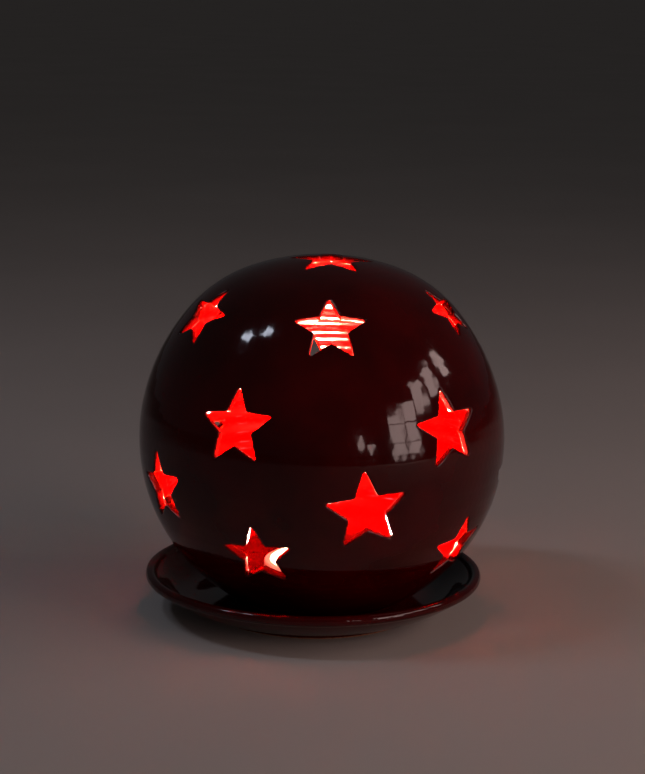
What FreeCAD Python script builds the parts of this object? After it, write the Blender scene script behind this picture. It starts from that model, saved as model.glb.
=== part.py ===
# Star lantern: a pierced ceramic globe standing in a saucer, lit by a push-on LED puck.
# Millimetres. Origin on the table under the globe axis, +Z up, front of the globe towards -Y.
import FreeCAD, Part
import os
from math import sin, cos, acos, radians, degrees, sqrt, pi

os.makedirs("parts", exist_ok=True)

# ---- driving dimensions: puck light -------------------------------------------------
puck_radius = 34.0
puck_wall = 1.8
shell_lip = 1.4             # top lip that keeps the lens in
shell_round = 1.2
lens_rim = 3.65             # width of that lip
lens_play = 0.35            # round the lens
lens_thickness = 1.2
lens_crown_radius = 250.0
lens_rise = 2.4             # crown of the lens above the shell
lens_flange = 1.1
lens_round = 0.8
lens_travel = 1.2
pusher_radius = 1.6
spring_mean_radius = 6.6
spring_wire = 0.5
spring_turns = 4.0
wire_sides = 12             # sides of every coiled wire
cell_radius = 5.25
cell_length = 44.5
cell_nub_radius = 1.9
cell_nub = 0.8
cell_gap = 0.7              # between neighbouring cells
coil_length = 3.25          # room for the contact spring at the flat end of a cell
coil_small_radius = 2.0
coil_flare = 22.0
contact_sheet = 0.4
contact_width = 8.0
contact_height = 7.4
tab_width = 3.0
tray_play = 0.3             # between tray and shell
tray_plate = 1.2
tray_ring_wall = 1.5
bay_wall = 1.0
board_gap = 0.4             # pads under the circuit board
board_edge = 2.4            # board edge to tray ring
board_thickness = 1.0
screw_radius = 0.95
screw_head_radius = 2.0
screw_head = 0.9
screw_length = 6.0
screw_boss_radius = 3.0
reflector_thickness = 0.7
led_circle = 12.1
led_radius = 2.4
led_height = 4.0
switch_width = 8.0
switch_height = 3.1
switch_floor = 0.5
plunger_radius = 1.5
resistor_length = 3.2
resistor_width = 1.6
resistor_height = 0.6
cover_bottom = 1.2          # cover sits up inside the shell
cover_thickness = 1.3
cover_play = 0.35
cover_turn = 20.0
lug_angle = 12.0
lug_reach = 0.8             # how far the lugs pass into the shell wall
slot_play = 1.5             # degrees at each end of a bayonet slot
window_angle = 10.0         # snap windows of the tray

# ---- driving dimensions: globe ------------------------------------------------------
globe_radius = 110.0        # belly of the globe
globe_wall = 5.0            # thrown wall
side_fullness = 18.0        # flatter arc between belly and shoulder: belly radius plus this
shoulder_tightness = 26.0   # shoulder arc: belly radius less this
belly_end = 74.0            # angles from the axis at which the arcs meet
side_end = 50.0
shoulder_end = 20.0
mouth_gap = 7.0             # puck to the opening in the foot
foot_width = 7.0
foot_lip_height = 7.0       # thick lip left inside the opening
foot_lip_round = 3.0

star_ratio = 0.44           # inner corners to points
star_tip_round = 0.7
# latitude, longitude from the front, size to the points, lean
pole_star = (85.0, 25.0, 26.5, -25.0)
upper_stars = ((45.5, -63.5, 22.0, -4.0), (46.0, 3.0, 22.2, 1.0), (47.0, 72.5, 20.0, 3.0),
               (46.0, 147.5, 21.5, 0.0), (45.5, 222.5, 21.5, 3.0))
second_stars = ((14.0, -27.0, 23.3, 3.0), (12.5, 42.5, 24.0, 4.5), (13.0, 112.0, 23.0, 2.0),
                (13.5, 184.0, 23.0, -2.0), (13.5, 257.5, 23.5, 3.0))
third_stars = ((-10.0, -59.0, 23.3, 7.5), (-10.0, 14.0, 25.0, 6.5), (-10.0, 85.0, 24.0, 3.0),
               (-10.0, 157.0, 24.0, -2.0), (-9.0, 229.0, 24.0, 4.0))
lower_stars = ((-27.0, -21.0, 22.2, 4.0), (-28.5, 55.5, 23.0, 5.0), (-28.0, 125.5, 22.0, 3.0),
               (-28.0, 197.0, 22.0, 0.0), (-28.0, 268.0, 22.0, 3.0))

# ---- driving dimensions: saucer -----------------------------------------------------
saucer_radius = 102.4
saucer_height = 25.6
saucer_offset = -4.0        # the globe stands a little to one side in it
saucer_wall = 5.0
foot_ring_height = 3.0
foot_ring_width = 8.0
foot_ring_clear = 7.0       # globe foot to the inside of the foot ring
floor_margin = 9.0          # flat floor beyond the foot ring
lip_radius = 3.1
bowl_bow = 3.2              # how far the wall bows down

# ---- sizes that follow --------------------------------------------------------------
origin = FreeCAD.Vector(0, 0, 0)
up = FreeCAD.Vector(0, 0, 1)
saucer_floor = foot_ring_height + saucer_wall
opening_radius = puck_radius + mouth_gap
foot_radius = opening_radius + foot_width
globe_centre = saucer_floor + sqrt(globe_radius ** 2 - foot_radius ** 2)

shell_inside = puck_radius - puck_wall
shell_opening = puck_radius - lens_rim
lens_radius = shell_opening - lens_play
lens_flange_radius = shell_inside - 0.8
cover_top = cover_bottom + cover_thickness
cell_centre = cover_top + 0.2 + cell_radius
cell_pitch = 2 * cell_radius + cell_gap
bay_end = (cell_length + coil_length + 0.05) / 2 + contact_sheet
bay_side = cell_pitch + cell_radius + 0.55
tray_ring_radius = shell_inside - tray_play
tray_bottom = cover_top + 0.4
tray_plate_bottom = cell_centre + cell_radius + 0.5
tray_plate_top = tray_plate_bottom + tray_plate
board_radius = tray_ring_radius - tray_ring_wall - board_edge
board_bottom = tray_plate_top + board_gap
board_top = board_bottom + board_thickness
board_screw_x = bay_side + bay_wall + screw_boss_radius + 2.0
tray_ring_top = board_top + screw_head + 0.3
lens_flange_bottom = tray_ring_top + reflector_thickness + lens_travel + 0.4
shell_height = lens_flange_bottom + lens_flange + 0.1 + shell_lip
puck_height = shell_height + lens_rise
lens_inside = puck_height - lens_thickness
plunger_top = board_top + switch_height + lens_travel + 1.4
window_bottom = (tray_bottom + tray_plate_bottom) / 2


def save(shape, name):
    shape.exportStep("parts/" + name + ".step")


def cylinder(radius, bottom, top, centre=origin):
    return Part.makeCylinder(radius, top - bottom, centre + up * bottom, up)


def ring(inner, outer, bottom, top):
    return cylinder(outer, bottom, top).cut(cylinder(inner, bottom - 1, top + 1))


def sector(inner, outer, bottom, top, start, span):
    wedge = Part.makeCylinder(outer, top - bottom, up * bottom, up, span)
    wedge = wedge.cut(cylinder(inner, bottom - 1, top + 1))
    wedge.rotate(origin, up, start)
    return wedge


def box(x0, x1, y0, y1, z0, z1):
    return Part.makeBox(x1 - x0, y1 - y0, z1 - z0, FreeCAD.Vector(x0, y0, z0))


def fuse(shapes):
    whole = shapes[0]
    for shape in shapes[1:]:
        whole = whole.fuse(shape)
    return whole.removeSplitter()


def coil(radius, height, turns, wire, flare):
    """Wire of many flat sides swept along a helix; the section stands square to the wire."""
    path = Part.makeHelix(height / turns, height, radius, flare)
    outward = FreeCAD.Vector(1, 0, 0)
    along = FreeCAD.Vector(0, 2 * pi * radius, height / turns).normalize()
    across = along.cross(outward)
    section = []
    for step in range(wire_sides + 1):
        turn = 2 * pi * (step % wire_sides) / wire_sides
        section.append(outward * (radius + wire / 2 * cos(turn)) + across * (wire / 2 * sin(turn)))
    return Part.Wire(path.Edges).makePipeShell([Part.makePolygon(section)], True, True)


def on_floor(shape):
    shape.translate(up * saucer_floor)
    return shape


# ---- globe --------------------------------------------------------------------------
def globe_solid(inset):
    """Body of revolution bounded by four tangent arcs; inset moves every arc inwards."""
    centre = up * globe_centre
    radius = globe_radius
    start = degrees(acos((saucer_floor - globe_centre) / (globe_radius - inset)))
    edges = []
    for end in (belly_end, side_end, shoulder_end, 0.0):
        corners = []
        for angle in (start, (start + end) / 2, end):
            reach = FreeCAD.Vector(sin(radians(angle)), 0, cos(radians(angle)))
            corners.append(centre + reach * (radius - inset))
        edges.append(Part.Arc(*corners).toShape())
        if end == belly_end:
            rim = corners[0]
            next_radius = globe_radius + side_fullness
        elif end == side_end:
            next_radius = globe_radius - shoulder_tightness
        elif end == shoulder_end:
            next_radius = radius + centre.x / sin(radians(end))
        centre = centre + reach * (radius - next_radius)
        radius = next_radius
        start = end
    foot = up * saucer_floor
    edges.append(Part.makeLine(corners[2], foot))
    edges.append(Part.makeLine(foot, rim))
    return Part.Face(Part.Wire(edges)).revolve(origin, up, 360)


def star_cutter(latitude, longitude, size, lean):
    """Five-pointed prism along the radius of the globe, with slightly rounded points."""
    corners = []
    for step in range(10):
        reach = size if step % 2 == 0 else size * star_ratio
        turn = radians(90 + lean + 36 * step)
        corners.append(FreeCAD.Vector(reach * cos(turn), reach * sin(turn), 0))
    depth = 4 * globe_wall + side_fullness
    prism = Part.Face(Part.makePolygon(corners + corners[:1])).extrude(up * depth)
    points = []
    for edge in prism.Edges:
        bounds = edge.BoundBox
        reach = sqrt(bounds.Center.x ** 2 + bounds.Center.y ** 2)
        if bounds.ZLength > depth - 0.1 and reach > size * (1 + star_ratio) / 2:
            points.append(edge)
    prism = prism.makeFillet(star_tip_round, points)
    phi, theta = radians(latitude), radians(longitude)
    out = FreeCAD.Vector(cos(phi) * sin(theta), -cos(phi) * cos(theta), sin(phi))
    east = FreeCAD.Vector(cos(theta), sin(theta), 0)
    facing = FreeCAD.Rotation(east, out.cross(east), out, "ZXY")
    place = up * globe_centre + out * (globe_radius - depth / 2)
    prism.Placement = FreeCAD.Placement(place, facing)
    return prism


outside = globe_solid(0)
foot_lip = ring(opening_radius, foot_radius + foot_width, saucer_floor, saucer_floor + foot_lip_height)
lip_edge = [edge for edge in foot_lip.Edges
            if abs(edge.BoundBox.XMax - opening_radius) < 0.01
            and edge.BoundBox.ZMin > saucer_floor + foot_lip_height - 0.01]
foot_lip = foot_lip.makeFillet(foot_lip_round, lip_edge).common(outside)
mouth = cylinder(opening_radius, saucer_floor - 1, saucer_floor + 2 * foot_lip_height)
globe = outside.cut(globe_solid(globe_wall)).cut(mouth).fuse(foot_lip).removeSplitter()
for star in (pole_star,) + upper_stars + second_stars + third_stars + lower_stars:
    globe = globe.cut(star_cutter(*star))
save(globe, "star_globe")


# ---- saucer -------------------------------------------------------------------------
def bowed(first, last):
    """Arc from first to last that bows down and outwards."""
    middle = (first + last) * 0.5 + FreeCAD.Vector(0.6, 0, -0.8) * bowl_bow
    return Part.Arc(first, middle, last).toShape()


def at(radius, height):
    return FreeCAD.Vector(radius, 0, height)


ring_inner = foot_radius + foot_ring_clear
ring_outer = ring_inner + foot_ring_width
lip_centre = at(saucer_radius - lip_radius, saucer_height - lip_radius)
outer_end = lip_centre + at(0.4, -0.6) * lip_radius
inner_end = lip_centre + at(-0.6, 0.3) * lip_radius
corners = [at(ring_outer + floor_margin, saucer_floor), at(0, saucer_floor), at(0, foot_ring_height),
           at(ring_inner, foot_ring_height), at(ring_inner, 0), at(ring_outer, 0),
           at(ring_outer, foot_ring_height)]
edges = [Part.makeLine(first, last) for first, last in zip(corners, corners[1:])]
edges.append(bowed(corners[-1], outer_end))
edges.append(Part.makeLine(outer_end, inner_end))
edges.append(bowed(corners[0], inner_end))
saucer = Part.Face(Part.Wire(edges)).revolve(origin, up, 360)
saucer = fuse([saucer, Part.makeTorus(lip_centre.x, lip_radius, up * lip_centre.z, up)])
saucer.translate(FreeCAD.Vector(saucer_offset, 0, 0))
save(saucer, "saucer")

# ---- puck shell ---------------------------------------------------------------------
shell = ring(shell_inside, puck_radius, 0, shell_height)
shell = fuse([shell, ring(shell_opening, puck_radius, shell_height - shell_lip, shell_height)])
top_edge = [edge for edge in shell.Edges
            if abs(edge.BoundBox.XMax - puck_radius) < 0.01
            and edge.BoundBox.ZMin > shell_height - 0.01]
shell = shell.makeFillet(shell_round, top_edge)
lug_bottom = cover_bottom + 0.5
slot_depth = shell_inside + lug_reach + 0.35
for third in (0, 120, 240):
    slot = sector(shell_inside - 0.1, slot_depth, lug_bottom - 0.2, cover_top + 0.2,
                  third - slot_play, lug_angle + cover_turn + 2 * slot_play)
    entry = sector(shell_inside - 0.1, slot_depth, -1, cover_top + 0.2,
                   third + cover_turn - slot_play, lug_angle + 2 * slot_play)
    window = sector(shell_inside - 0.1, slot_depth - 0.15, window_bottom, window_bottom + 1.6,
                    third + 60 - window_angle / 2, window_angle)
    shell = shell.cut(slot).cut(entry).cut(window)
save(on_floor(shell), "light_housing")


# ---- lens, its spring and the reflector ---------------------------------------------
def dome(radius, crown, bottom, rounding):
    """Cylinder under a shallow crowned top."""
    sphere = Part.makeSphere(lens_crown_radius, up * (crown - lens_crown_radius))
    solid = cylinder(radius, bottom, crown + 1).common(sphere)
    edge = [edge for edge in solid.Edges
            if edge.BoundBox.ZLength < 0.01 and edge.BoundBox.ZMin > bottom + 0.5]
    return solid.makeFillet(rounding, edge)


lens_skirt = lens_radius - lens_thickness
lens = dome(lens_radius, puck_height, lens_flange_bottom, lens_round)
lens = lens.cut(dome(lens_skirt, lens_inside, lens_flange_bottom - 1, lens_round / 2))
flange = ring(lens_skirt, lens_flange_radius, lens_flange_bottom, lens_flange_bottom + lens_flange)
pusher = cylinder(pusher_radius, plunger_top + 0.05, lens_inside + 0.2)
spring_seat = ring(spring_mean_radius + 0.5, spring_mean_radius + 1.3, lens_inside - 1.4, lens_inside + 0.2)
save(on_floor(fuse([lens, flange, pusher, spring_seat])), "push_lens")

sag = lens_crown_radius - sqrt(lens_crown_radius ** 2 - (spring_mean_radius + spring_wire) ** 2)
lens_spring = coil(spring_mean_radius, lens_inside - sag - board_top - spring_wire - 0.06,
                   spring_turns, spring_wire, 0)
lens_spring.translate(up * (board_top + spring_wire / 2 + 0.03))
save(on_floor(lens_spring), "lens_spring")

led_places = [FreeCAD.Vector(led_circle * cos(radians(angle)), led_circle * sin(radians(angle)), 0)
              for angle in (90, 210, 330)]
collar_foot = tray_ring_top + reflector_thickness
reflector = ring(spring_mean_radius + 1.0, tray_ring_radius - 0.3, tray_ring_top, collar_foot)
for place in led_places:
    collar = Part.makeCone(led_radius + 1.9, led_radius + 1.1, 1.2, place + up * collar_foot, up)
    reflector = reflector.fuse(collar)
for place in led_places:
    reflector = reflector.cut(cylinder(led_radius + 0.6, tray_ring_top - 1, collar_foot + 2, place))
save(on_floor(reflector.removeSplitter()), "reflector")

# ---- circuit board and what sits on it ----------------------------------------------
for number, place in enumerate(led_places, start=1):
    led = fuse([cylinder(led_radius + 0.2, board_top, board_top + 0.5, place),
                cylinder(led_radius, board_top, board_top + led_height - led_radius, place),
                Part.makeSphere(led_radius, place + up * (board_top + led_height - led_radius),
                                up, 0, 90, 360)])
    save(on_floor(led), "led_" + str(number))

board = cylinder(board_radius, board_bottom, board_top)
screw_places = [FreeCAD.Vector(side * board_screw_x, 0, 0) for side in (-1, 1)]
screws = []
for place in screw_places:
    board = board.cut(cylinder(screw_radius + 0.15, board_bottom - 1, board_top + 1, place))
    screw = fuse([cylinder(screw_radius, board_top - screw_length, board_top, place),
                  cylinder(screw_head_radius, board_top, board_top + screw_head, place)])
    for length, width in ((1.2, 0.25), (0.25, 1.2)):
        cross = box(-length, length, -width, width, board_top + screw_head / 2, board_top + 2)
        cross.translate(place)
        screw = screw.cut(cross)
    screws.append(screw)
save(on_floor(board), "circuit_board")
save(on_floor(Part.makeCompound(screws)), "board_screws")
resistor_y = -led_circle - led_radius
save(on_floor(box(-resistor_length / 2, resistor_length / 2, resistor_y - resistor_width, resistor_y,
                  board_top, board_top + resistor_height)), "current_resistor")

half = switch_width / 2
switch_body = box(-half, half, -half, half, board_top, board_top + switch_height)
switch_body = switch_body.cut(cylinder(plunger_radius + 0.1, board_top + switch_floor, board_top + 10))
save(on_floor(switch_body), "switch_body")
plunger = cylinder(plunger_radius, board_top + switch_floor + lens_travel + 0.1, plunger_top)
save(on_floor(plunger), "switch_plunger")

# ---- battery tray -------------------------------------------------------------------
tray_pieces = [cylinder(tray_ring_radius, tray_plate_bottom, tray_plate_top),
               ring(tray_ring_radius - tray_ring_wall, tray_ring_radius, tray_bottom, tray_ring_top),
               ring(board_radius - 1.5, board_radius, tray_plate_top, board_bottom)]
for side in (-1, 1):
    ends = sorted((side * bay_end, side * (bay_end + bay_wall)))
    walls = sorted((side * bay_side, side * (bay_side + bay_wall)))
    tray_pieces.append(box(-bay_side - bay_wall, bay_side + bay_wall, ends[0], ends[1],
                           tray_bottom, tray_plate_bottom))
    tray_pieces.append(box(walls[0], walls[1], -bay_end - bay_wall, bay_end + bay_wall,
                           tray_bottom, tray_plate_bottom))
boss_bottom = board_top - screw_length - 0.8
for place in screw_places:
    tray_pieces.append(cylinder(screw_boss_radius, boss_bottom, board_bottom, place))
for third in (0, 120, 240):
    tray_pieces.append(sector(tray_ring_radius - 0.2, shell_inside + lug_reach, window_bottom,
                              window_bottom + 1.4, third + 61 - window_angle / 2, window_angle - 2))
tray = fuse(tray_pieces)
for place in screw_places:
    tray = tray.cut(cylinder(screw_radius + 0.05, board_top - screw_length - 0.2, board_bottom + 1, place))
for column, side in ((-1, 1), (1, -1)):
    middle = column * cell_pitch
    faces = sorted((side * (bay_end - contact_sheet - 0.2), side * (bay_end + 0.2)))
    tray = tray.cut(box(middle - tab_width / 2 - 0.2, middle + tab_width / 2 + 0.2, faces[0], faces[1],
                        tray_plate_bottom - 0.1, board_bottom + 0.1))
save(on_floor(tray), "battery_tray")


# ---- cells and contacts -------------------------------------------------------------
def placed(shape, column, side):
    """Turn a piece made for the +Y end of the bay to the end it belongs to."""
    if side < 0:
        shape.rotate(origin, up, 180)
    shape.translate(FreeCAD.Vector(column * cell_pitch, 0, cell_centre))
    return shape


def cell(column, plus_side):
    along = FreeCAD.Vector(0, 1, 0)
    tip = bay_end - contact_sheet - 0.05
    can = Part.makeCylinder(cell_radius, cell_length - cell_nub, along * (tip - cell_length), along)
    can = can.makeFillet(0.5, [edge for edge in can.Edges if edge.BoundBox.YLength < 0.01])
    nub = Part.makeCylinder(cell_nub_radius, cell_nub, along * (tip - cell_nub), along)
    return placed(can.fuse(nub), column, plus_side)


def contact_plate(first, last, side):
    faces = sorted((side * (bay_end - contact_sheet), side * bay_end))
    return box(first * cell_pitch - contact_width / 2, last * cell_pitch + contact_width / 2,
               faces[0], faces[1], cell_centre - contact_height / 2, cell_centre + contact_height / 2)


def contact_tab(column, side):
    faces = sorted((side * (bay_end - contact_sheet), side * bay_end))
    middle = column * cell_pitch
    return box(middle - tab_width / 2, middle + tab_width / 2, faces[0], faces[1],
               cell_centre, board_bottom)


def contact_coil(column, side):
    height = coil_length - spring_wire / 2 - 0.05
    spring = coil(coil_small_radius, height, 2.5, spring_wire, coil_flare)
    spring.rotate(origin, FreeCAD.Vector(1, 0, 0), -90)
    spring.translate(FreeCAD.Vector(0, bay_end - contact_sheet - height, 0))
    return placed(spring, column, side)


for number, (column, plus_side) in enumerate(((-1, 1), (0, -1), (1, 1)), start=1):
    save(on_floor(cell(column, plus_side)), "battery_" + str(number))
save(on_floor(fuse([contact_plate(-1, -1, 1), contact_tab(-1, 1)])), "positive_contact")
save(on_floor(fuse([contact_plate(1, 1, -1), contact_tab(1, -1), contact_coil(1, -1)])),
     "negative_contact")
links = [fuse([contact_plate(-1, 0, -1), contact_coil(-1, -1)]),
         fuse([contact_plate(0, 1, 1), contact_coil(0, 1)])]
save(on_floor(Part.makeCompound(links)), "link_contacts")

# ---- battery cover ------------------------------------------------------------------
cover = cylinder(shell_inside - cover_play, cover_bottom, cover_top)
for third in (0, 120, 240):
    cover = cover.fuse(sector(shell_inside - cover_play - 0.5, shell_inside + lug_reach, lug_bottom,
                              cover_top, third, lug_angle))
grip = box(-9, 9, -1.1, 1.1, cover_bottom - 1, (cover_bottom + cover_top) / 2)
save(on_floor(cover.cut(grip).removeSplitter()), "battery_cover")
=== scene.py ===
import bpy, bmesh, math
from mathutils import Vector, Matrix, noise


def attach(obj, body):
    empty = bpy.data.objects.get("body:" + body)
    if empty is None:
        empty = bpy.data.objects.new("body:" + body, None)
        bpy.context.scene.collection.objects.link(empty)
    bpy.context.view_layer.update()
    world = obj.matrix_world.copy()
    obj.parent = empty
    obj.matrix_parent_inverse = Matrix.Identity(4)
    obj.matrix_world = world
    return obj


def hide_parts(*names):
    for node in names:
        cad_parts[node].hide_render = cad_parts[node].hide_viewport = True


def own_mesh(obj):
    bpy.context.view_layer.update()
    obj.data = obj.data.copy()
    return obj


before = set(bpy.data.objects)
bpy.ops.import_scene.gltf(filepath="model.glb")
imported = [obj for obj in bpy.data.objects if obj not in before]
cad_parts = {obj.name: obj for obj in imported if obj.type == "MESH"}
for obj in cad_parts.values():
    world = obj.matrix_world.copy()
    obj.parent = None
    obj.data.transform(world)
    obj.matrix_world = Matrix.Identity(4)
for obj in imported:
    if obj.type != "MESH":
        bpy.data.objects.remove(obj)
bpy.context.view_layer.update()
print("frame loaded")

mm = 0.001


def hexColour(code, alpha=1.0):
    # sRGB hex to the linear values the shaders take
    values = [int(code[i:i + 2], 16) / 255 for i in (1, 3, 5)]
    return [v / 12.92 if v <= 0.04045 else ((v + 0.055) / 1.055) ** 2.4 for v in values] + [alpha]


def darkened(colour, share):
    return [v * share for v in colour[:3]] + [1]


def setInputs(node, **inputs):
    # an input is a plain value or the socket it is linked from; i0 is the first socket, i1 the second,
    # for nodes whose sockets share a name
    for name, value in inputs.items():
        socket = node.inputs[int(name[1:]) if name[1:].isdigit() else name.replace("_", " ")]
        if isinstance(value, bpy.types.NodeSocket):
            node.id_data.links.new(value, socket)
        else:
            socket.default_value = value


def addNode(tree, kind, settings=None, stops=(), **inputs):
    # stops are the positions and colours of a colour ramp, from low to high
    node = tree.nodes.new("ShaderNode" + kind)
    for name, value in (settings or {}).items():
        setattr(node, name, value)
    for place, (position, colour) in enumerate(stops):
        bar = node.color_ramp.elements
        stop = bar[0] if place == 0 else bar[-1] if place == len(stops) - 1 else bar.new(position)
        stop.position, stop.color = position, colour
    setInputs(node, **inputs)
    return node


def newMaterial(name):
    material = bpy.data.materials.new(name)
    material.use_nodes = True
    tree = material.node_tree
    tree.nodes.clear()
    shader = addNode(tree, "BsdfPrincipled")
    addNode(tree, "OutputMaterial", Surface=shader.outputs[0])
    return material, tree, shader


def newObject(name, data):
    piece = bpy.data.objects.new(name, data)
    bpy.context.collection.objects.link(piece)
    return piece


def dress(nodeName, material):
    # every slot of a carried-over piece gets the material
    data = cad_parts[nodeName].data
    data.materials.clear()
    data.materials.append(material)


# ---- camera
camera = {"height": 107 * mm, "distance": 1236 * mm, "elevation": 12.97, "roll": 0.86,
          "aimAbove": 29.8 * mm, "lens": 95.2, "near": 0.05, "far": 200}
tilt = math.radians(camera["elevation"])
away = Vector((0, -math.cos(tilt), math.sin(tilt)))
upward = Vector((0, math.sin(tilt), math.cos(tilt)))
globeCentre = Vector((0, 0, camera["height"]))
cameraData = bpy.data.cameras.new("camera")
cameraData.lens = camera["lens"]
cameraData.clip_start, cameraData.clip_end = camera["near"], camera["far"]
cameraObject = newObject("camera", cameraData)
cameraObject.location = globeCentre + away * camera["distance"]
look = globeCentre + upward * camera["aimAbove"] - cameraObject.location
roll = Matrix.Rotation(math.radians(camera["roll"]), 4, "Z")
cameraObject.matrix_world = (Matrix.Translation(cameraObject.location)
                             @ look.to_track_quat("-Z", "Y").to_matrix().to_4x4() @ roll)
bpy.context.scene.camera = cameraObject

# ---- surround and floor
studio = {"ambient": 0.05, "ambientColour": "#d6d4d8", "floorColour": "#bdb5ae", "floorReach": 60.0,
          "floorSides": 72, "floorShade": 0.94, "floorPatch": 1000 / 3 * mm}
world = bpy.data.worlds.new("studio")
bpy.context.scene.world = world
world.use_nodes = True
setInputs(world.node_tree.nodes["Background"], Color=hexColour(studio["ambientColour"]),
          Strength=studio["ambient"])
bpy.context.scene.view_settings.view_transform = "Standard"


def plainFloor():
    # one flat round sheet of pale paper, wide enough to pass out of sight on every side
    reach, sides = studio["floorReach"], studio["floorSides"]
    rim = [(reach * math.cos(turn), reach * math.sin(turn), 0.0)
           for turn in (math.radians(360 / sides * step) for step in range(sides))]
    mesh = bpy.data.meshes.new("floor")
    mesh.from_pydata(rim, [], [list(range(sides))])
    floor = newObject("floor", mesh)
    material, tree, shader = newMaterial("matt paper")  # no gloss, a faint unevenness of tone
    place = addNode(tree, "TexCoord").outputs["Object"]
    tone = addNode(tree, "TexNoise", Vector=place, Scale=1 / studio["floorPatch"], Detail=2.0)
    base = hexColour(studio["floorColour"])
    sheet = addNode(tree, "ValToRGB", Fac=tone.outputs[0],
                    stops=((0.3, darkened(base, studio["floorShade"])), (0.7, base)))
    setInputs(shader, Base_Color=sheet.outputs[0], Roughness=0.9, Specular_IOR_Level=0.2)
    mesh.materials.append(material)


plainFloor()

# ---- lamps: the gloss shows a barred window on the right and a small pair of panes high on the left;
# everything else is an even, weak surround. A pane is its bearing from the front (right is positive) and
# its elevation, in degrees, then its width and height in metres
lamps = {"reach": 1.5, "windowRadiance": 6.2, "windowColour": "#ffdcd6",
         "leftRadiance": 17.0, "leftColour": "#e4ebff",
         "windowPanes": ((46.5, 19, 0.23, 0.18), (56.5, 20.5, 0.24, 0.2), (46.5, 11, 0.23, 0.19),
                         (57, 11, 0.23, 0.19), (47, 2.8, 0.22, 0.19), (57, 2.8, 0.22, 0.19),
                         (68, 25, 0.22, 0.3), (81, 28, 0.2, 0.3), (97, 29, 0.16, 0.3),
                         (23, 8, 0.07, 0.26), (29, 5, 0.06, 0.2)),
         "leftPanes": ((-81, 50, 0.13, 0.15), (-69, 59, 0.13, 0.15))}


def paneLamp(name, azimuth, elevation, width, height, radiance, colour):
    # a flat lamp facing the globe
    data = bpy.data.lights.new(name, "AREA")
    data.shape = "RECTANGLE"
    data.size, data.size_y = width, height
    data.energy = radiance * math.pi * width * height
    data.color = hexColour(colour)[:3]
    lamp = newObject(name, data)
    bearing, rise = math.radians(azimuth), math.radians(elevation)
    outward = Vector((math.sin(bearing) * math.cos(rise), -math.cos(bearing) * math.cos(rise),
                      math.sin(rise)))
    lamp.location = globeCentre + outward * lamps["reach"]
    lamp.rotation_mode = "QUATERNION"
    lamp.rotation_quaternion = (-outward).to_track_quat("-Z", "Y")


for pane in lamps["windowPanes"]:
    paneLamp("windowPane", *pane, lamps["windowRadiance"], lamps["windowColour"])
for pane in lamps["leftPanes"]:
    paneLamp("leftPane", *pane, lamps["leftRadiance"], lamps["leftColour"])
print("camera, light and floor set")

# ---- glazed globe and saucer
pottery = {"voxel": 0.8 * mm, "smoothing": 0.5, "smoothPasses": 3,
           "wander": 0.25 * mm, "wanderScale": 60 * mm, "wanderFrom": 0.4 * mm, "wanderFull": 12 * mm,
           "wanderSeed": 5, "bareHeight": 0.3 * mm}
# the paler brown-red edge colour in this table is a painted highlight laid on the sharp convex edges
glaze = {"low": "#2e0000", "middle": "#3a0000", "high": "#460000", "paintedEdgeHighlight": "#6a1004",
         "cloud": 38 * mm, "ringStep": 11 * mm, "ringDepth": 0.95 * mm, "ringShareOutside": 0.06,
         "ripple": 9 * mm, "rippleDepth": 0.12 * mm, "smear": 22 * mm, "roughness": (0.04, 0.11)}
clay = {"dark": "#9a5f3e", "pale": "#bd8057", "grit": 1.2 * mm, "gritDepth": 0.15 * mm}
globe = {"nodeName": "star_globe", "pieceName": "glazedGlobe", "body": "globe", "restZ": 8 * mm}
saucer = {"nodeName": "saucer", "pieceName": "glazedSaucer", "body": "saucer", "restZ": 0.0}
# without a seed of its own the noise starts from the clock, and no two runs give the same wander
noise.seed_set(pottery["wanderSeed"])


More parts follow.
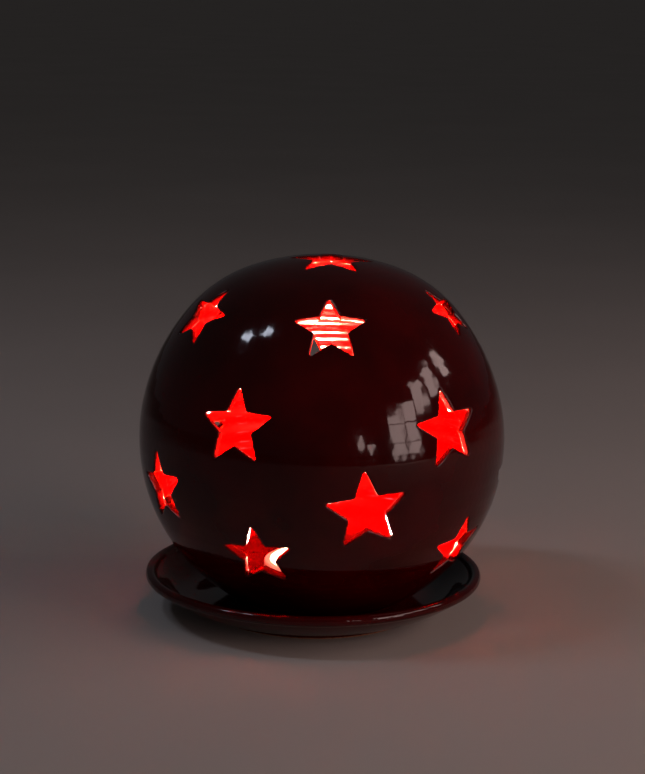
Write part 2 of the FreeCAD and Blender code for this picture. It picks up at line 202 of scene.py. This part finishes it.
def glazeMaterial():
    # thrown earthenware under a thick oxblood glaze: wet gloss, dark where it pools, rings from the
    # fingers under it;
    # a painted highlight, lighter and browner, lies along every sharp convex edge where the edges catch
    # the light
    material, tree, shader = newMaterial("oxblood glazed earthenware")
    place = addNode(tree, "TexCoord").outputs["Object"]
    cloud = addNode(tree, "TexNoise", Vector=place, Scale=1 / glaze["cloud"], Detail=3.0, Roughness=0.5)
    body = addNode(tree, "ValToRGB", Fac=cloud.outputs[0],
                   stops=((0.3, hexColour(glaze["low"])), (0.52, hexColour(glaze["middle"])),
                          (0.75, hexColour(glaze["high"]))))
    surface = addNode(tree, "NewGeometry")
    # painted highlight: the sharp convex edges (high pointiness) take a lighter, browner red in place of
    # the light they catch
    edgeHighlightMask = addNode(tree, "ValToRGB", Fac=surface.outputs["Pointiness"],
                   stops=((0.53, (0, 0, 0, 1)), (0.60, (1, 1, 1, 1))))
    colour = addNode(tree, "Mix", {"data_type": "RGBA"}, Factor=edgeHighlightMask.outputs[0], A=body.outputs[0],
                     B=hexColour(glaze["paintedEdgeHighlight"]))
    # the wall faces the middle of the globe where it is an inside: there the rings are full depth,
    # and the outside was trimmed almost smooth
    fromMiddle = addNode(tree, "VectorMath", {"operation": "SUBTRACT"}, i0=place, i1=tuple(globeCentre))
    facing = addNode(tree, "VectorMath", {"operation": "DOT_PRODUCT"}, i0=fromMiddle.outputs[0],
                     i1=surface.outputs["True Normal"])
    inside = addNode(tree, "Math", {"operation": "LESS_THAN"}, i0=facing.outputs["Value"], i1=-0.05)
    depth = addNode(tree, "MapRange", Value=inside.outputs[0], To_Min=glaze["ringShareOutside"],
                    To_Max=1.0)
    # a wave of scale 1 repeats every pi / 10
    rings = addNode(tree, "TexWave",
                    {"wave_type": "BANDS", "bands_direction": "Z", "wave_profile": "SIN"}, Vector=place,
                    Scale=math.pi / 10 / glaze["ringStep"], Distortion=2.2, Detail=1.0,
                    Detail_Scale=0.4)
    ringBump = addNode(tree, "Bump", Strength=depth.outputs[0], Distance=glaze["ringDepth"],
                       Height=rings.outputs[1])
    ripple = addNode(tree, "TexNoise", Vector=place, Scale=1 / glaze["ripple"], Detail=1.0)
    rippleBump = addNode(tree, "Bump", Strength=0.5, Distance=glaze["rippleDepth"],
                         Height=ripple.outputs[0], Normal=ringBump.outputs[0])
    smear = addNode(tree, "TexNoise", Vector=place, Scale=1 / glaze["smear"], Detail=2.0)
    rough = addNode(tree, "MapRange", Value=smear.outputs[0], To_Min=glaze["roughness"][0],
                    To_Max=glaze["roughness"][1])
    setInputs(shader, Base_Color=colour.outputs["Result"], Normal=rippleBump.outputs[0],
              Roughness=rough.outputs[0], IOR=1.38)
    return material


def clayMaterial():
    # bare fired clay where the foot was wiped clean of glaze: matt, sandy, warm buff
    material, tree, shader = newMaterial("bare fired clay")
    place = addNode(tree, "TexCoord").outputs["Object"]
    grit = addNode(tree, "TexNoise", Vector=place, Scale=1 / clay["grit"], Detail=3.0)
    tone = addNode(tree, "ValToRGB", Fac=grit.outputs[0],
                   stops=((0.35, hexColour(clay["dark"])), (0.65, hexColour(clay["pale"]))))
    bump = addNode(tree, "Bump", Strength=0.6, Distance=clay["gritDepth"], Height=grit.outputs[0])
    setInputs(shader, Base_Color=tone.outputs[0], Normal=bump.outputs[0], Roughness=0.85)
    return material


oxblood = glazeMaterial()
bareClay = clayMaterial()


def dropCrumbs(mesh):
    # remeshing can leave a few faces floating free: only what hangs together with the foot stays
    shape = bmesh.new()
    shape.from_mesh(mesh)
    foot = min(shape.verts, key=lambda vertex: vertex.co.z)
    joined, waiting = {foot}, [foot]
    while waiting:
        vertex = waiting.pop()
        for link in vertex.link_edges:
            other = link.other_vert(vertex)
            if other not in joined:
                joined.add(other)
                waiting.append(other)
    bmesh.ops.delete(shape, geom=[v for v in shape.verts if v not in joined], context="VERTS")
    shape.to_mesh(mesh)
    shape.free()


def glazedPiece(nodeName, pieceName, body, restZ):
    # the thrown form with its cut edges softened by the glaze, and a slight hand-made wander
    piece = newObject(pieceName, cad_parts[nodeName].data.copy())
    remesh = piece.modifiers.new("remesh", "REMESH")
    remesh.mode = "VOXEL"
    remesh.voxel_size = pottery["voxel"]
    remesh.use_smooth_shade = True
    smooth = piece.modifiers.new("smooth", "SMOOTH")
    smooth.factor, smooth.iterations = pottery["smoothing"], pottery["smoothPasses"]
    graph = bpy.context.evaluated_depsgraph_get()
    shaped = bpy.data.meshes.new_from_object(piece.evaluated_get(graph))
    piece.modifiers.clear()
    piece.data = shaped
    dropCrumbs(shaped)
    wander, scale = pottery["wander"], 1 / pottery["wanderScale"]
    for vertex in shaped.vertices:
        lift = vertex.co.z - restZ
        if lift > pottery["wanderFrom"]:
            # the wander fades in above the foot; the skin is drawn in by half of it, to stay in size
            shift = noise.noise_vector(vertex.co * scale) * wander
            fade = min(1.0, lift / pottery["wanderFull"])
            vertex.co += shift * fade - vertex.co.normalized() * wander * 0.5
        else:
            vertex.co.z = restZ
    shaped.materials.clear()
    shaped.materials.append(oxblood)
    shaped.materials.append(bareClay)
    for face in shaped.polygons:
        face.use_smooth = True
        face.material_index = 1 if face.center.z < restZ + pottery["bareHeight"] else 0
    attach(piece, body)
    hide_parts(nodeName)
    print(pieceName, len(shaped.vertices))


glazedPiece(**globe)
glazedPiece(**saucer)

# ---- push light
lens = {"crownRadius": 250 * mm, "ledCircle": 12.1 * mm, "ledAngles": (90, 210, 330),
        "windowRadius": 1.5 * mm, "windowSunk": 0.3 * mm, "windowProud": 0.24 * mm, "windowSides": 24,
        "sharpAngle": 35, "weld": 0.001 * mm, "glowColour": "#ffd9ae", "glow": 9.0,
        "windowGlow": 600000.0, "haze": 2 * mm, "milky": "#f2efe8", "clear": "#fbf9f4", "travel": 1.2 * mm}
led = {"colour": "#fff6df", "glowColour": "#fff0d6", "glowFrom": 24 * mm, "glowFull": 27.5 * mm,
       "glow": (2.0, 40.0)}
board = {"resist": "#15502a", "track": "#2f7a3e", "trackStep": 9 * mm, "trackDepth": 0.04 * mm}
cell = {"half": 24 * mm, "sleeve": "#1c1d20", "band": "#b0683a", "can": "#a9a9a6", "scuff": 0.8 * mm}
plastic = {"mouldGrain": 0.6 * mm, "mouldDepth": 0.03 * mm, "turnedGrain": 1.5 * mm,
           "turnedDepth": 0.01 * mm, "shade": 0.93}
metal = {"shade": 0.85, "roughnessSpread": 0.15}


def plasticMaterial(name, colour, roughness, grain, grainDepth):
    # moulded plastic: an even tone with the fine grain of its mould
    material, tree, shader = newMaterial(name)
    place = addNode(tree, "TexCoord").outputs["Object"]
    speck = addNode(tree, "TexNoise", Vector=place, Scale=1 / grain, Detail=2.0)
    base = hexColour(colour)
    tone = addNode(tree, "ValToRGB", Fac=speck.outputs[0],
                   stops=((0.35, darkened(base, plastic["shade"])), (0.65, base)))
    bump = addNode(tree, "Bump", Strength=0.4, Distance=grainDepth, Height=speck.outputs[0])
    setInputs(shader, Base_Color=tone.outputs[0], Normal=bump.outputs[0], Roughness=roughness, IOR=1.53)
    return material


def metalMaterial(name, colour, roughness, brush):
    # plated steel or bright foil: shiny with fine drawing marks
    material, tree, shader = newMaterial(name)
    place = addNode(tree, "TexCoord").outputs["Object"]
    marks = addNode(tree, "TexNoise", Vector=place, Scale=1 / brush, Detail=3.0)
    base = hexColour(colour)
    tone = addNode(tree, "ValToRGB", Fac=marks.outputs[0],
                   stops=((0.3, darkened(base, metal["shade"])), (0.7, base)))
    rough = addNode(tree, "MapRange", Value=marks.outputs[0], To_Min=roughness,
                    To_Max=roughness + metal["roughnessSpread"])
    setInputs(shader, Base_Color=tone.outputs[0], Roughness=rough.outputs[0], Metallic=1.0)
    return material


def lensMaterial():
    # frosted polycarbonate over lit LEDs: milky, glowing evenly, still glossy outside
    material, tree, shader = newMaterial("frosted polycarbonate, lit")
    place = addNode(tree, "TexCoord").outputs["Object"]
    haze = addNode(tree, "TexNoise", Vector=place, Scale=1 / lens["haze"], Detail=1.0)
    tone = addNode(tree, "ValToRGB", Fac=haze.outputs[0],
                   stops=((0.3, hexColour(lens["milky"])), (0.7, hexColour(lens["clear"]))))
    setInputs(shader, Base_Color=tone.outputs[0], Roughness=0.25, IOR=1.58,
              Emission_Color=hexColour(lens["glowColour"]), Emission_Strength=lens["glow"])
    return material


def windowMaterial():
    # the clear window moulded over each LED: a hard, very bright point that throws the crisp stars
    material, tree, shader = newMaterial("clear polycarbonate window, lit")
    setInputs(shader, Base_Color=hexColour(lens["clear"]), Roughness=0.1, IOR=1.58,
              Emission_Color=hexColour(lens["glowColour"]), Emission_Strength=lens["windowGlow"])
    return material


def ledMaterial():
    # clear cast epoxy over a lit chip: warm white, brightest at the tip
    material, tree, shader = newMaterial("clear cast epoxy, lit")
    place = addNode(tree, "TexCoord").outputs["Object"]
    height = addNode(tree, "SeparateXYZ", Vector=place).outputs["Z"]
    glow = addNode(tree, "MapRange", Value=height, From_Min=led["glowFrom"], From_Max=led["glowFull"],
                   To_Min=led["glow"][0], To_Max=led["glow"][1])
    setInputs(shader, Base_Color=hexColour(led["colour"]), Roughness=0.1, IOR=1.54,
              Emission_Color=hexColour(led["glowColour"]), Emission_Strength=glow.outputs[0])
    return material


def boardMaterial():
    # glass-fibre laminate under green solder resist, with copper tracks showing as paler lines
    material, tree, shader = newMaterial("green solder resist on laminate")
    place = addNode(tree, "TexCoord").outputs["Object"]
    tracks = addNode(tree, "TexVoronoi", {"feature": "DISTANCE_TO_EDGE"}, Vector=place,
                     Scale=1 / board["trackStep"])
    lines = addNode(tree, "ValToRGB", Fac=tracks.outputs[0],
                    stops=((0.04, hexColour(board["track"])), (0.07, hexColour(board["resist"]))))
    bump = addNode(tree, "Bump", Strength=0.5, Distance=board["trackDepth"], Height=tracks.outputs[0])
    setInputs(shader, Base_Color=lines.outputs[0], Normal=bump.outputs[0], Roughness=0.3)
    return material


def cellMaterial():
    # foil sleeve over a steel can: dark body, coppery band at the raised end, both ends bare steel
    material, tree, shader = newMaterial("foil sleeve on steel can")
    place = addNode(tree, "TexCoord").outputs["Object"]
    along = addNode(tree, "SeparateXYZ", Vector=place).outputs["Y"]
    share = addNode(tree, "MapRange", Value=along, From_Min=-cell["half"], From_Max=cell["half"])
    can, sleeve, band = hexColour(cell["can"]), hexColour(cell["sleeve"]), hexColour(cell["band"])
    tone = addNode(tree, "ValToRGB", Fac=share.outputs[0],
                   stops=((0.0, can), (0.069, can), (0.075, sleeve), (0.75, sleeve), (0.76, band),
                          (0.96, band), (0.98, can)))
    scuff = addNode(tree, "TexNoise", Vector=place, Scale=1 / cell["scuff"], Detail=2.0)
    rough = addNode(tree, "MapRange", Value=scuff.outputs[0], To_Min=0.25, To_Max=0.4)
    setInputs(shader, Base_Color=tone.outputs[0], Roughness=rough.outputs[0], Metallic=0.7)
    return material


def litLens():
    # the moulded lens with a low round window standing just proud of it over each LED
    shape = bmesh.new()
    shape.from_mesh(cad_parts["push_lens"].data)
    bmesh.ops.remove_doubles(shape, verts=shape.verts, dist=lens["weld"])
    for face in shape.faces:
        face.material_index = 0
    crown = max(vertex.co.z for vertex in shape.verts)
    surface = crown - lens["ledCircle"] ** 2 / (2 * lens["crownRadius"])
    height = lens["windowSunk"] + lens["windowProud"]
    for angle in lens["ledAngles"]:
        middle = Vector((lens["ledCircle"] * math.cos(math.radians(angle)),
                         lens["ledCircle"] * math.sin(math.radians(angle)),
                         surface + lens["windowProud"] - height / 2))
        window = bmesh.ops.create_cone(shape, cap_ends=True, segments=lens["windowSides"],
                                       radius1=lens["windowRadius"], radius2=lens["windowRadius"],
                                       depth=height, matrix=Matrix.Translation(middle))
        for face in {face for vertex in window["verts"] for face in vertex.link_faces}:
            # its hidden lower cap belongs to the lens
            face.material_index = 0 if face.normal.z < -0.5 else 1
    for face in shape.faces:
        face.smooth = True
    for edge in shape.edges:
        edge.smooth = edge.calc_face_angle(0) < math.radians(lens["sharpAngle"])
    mesh = bpy.data.meshes.new("litLens")
    shape.to_mesh(mesh)
    shape.free()
    mesh.materials.append(lensMaterial())
    mesh.materials.append(windowMaterial())
    piece = newObject("litLens", mesh)
    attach(piece, "lens")
    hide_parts("push_lens")


def squeezedSpring(wire):
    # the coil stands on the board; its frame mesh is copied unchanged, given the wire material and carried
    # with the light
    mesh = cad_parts["lens_spring"].data.copy()
    mesh.materials.clear()
    mesh.materials.append(wire)
    piece = newObject("squeezedSpring", mesh)
    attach(piece, "light")
    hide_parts("lens_spring")
    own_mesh(piece)


clothes = (
    (ledMaterial(), ("led_1", "led_2", "led_3")),
    (cellMaterial(), ("battery_1", "battery_2", "battery_3")),
    (boardMaterial(), ("circuit_board",)),
    (plasticMaterial("moulded white ABS", "#e9e7e1", 0.42, plastic["mouldGrain"],
                     plastic["mouldDepth"]),
     ("light_housing", "battery_tray", "battery_cover")),
    (plasticMaterial("moulded black nylon", "#17171a", 0.5, plastic["mouldGrain"],
                     plastic["mouldDepth"]),
     ("switch_body", "current_resistor")),
    (plasticMaterial("turned white acetal", "#e6e4dc", 0.3, plastic["turnedGrain"],
                     plastic["turnedDepth"]),
     ("switch_plunger",)),
    (metalMaterial("nickel plated steel sheet", "#c9c5bb", 0.18, 0.7 * mm),
     ("positive_contact", "negative_contact", "link_contacts")),
    (metalMaterial("zinc plated steel", "#b9bcc0", 0.3, 0.5 * mm), ("board_screws",)),
    (metalMaterial("aluminised plastic", "#e4e6e8", 0.08, 3 * mm), ("reflector",)))
for material, nodeNames in clothes:
    for nodeName in nodeNames:
        dress(nodeName, material)
litLens()
squeezedSpring(metalMaterial("drawn spring wire", "#a5a6a6", 0.25, 0.4 * mm))
print("push light dressed")
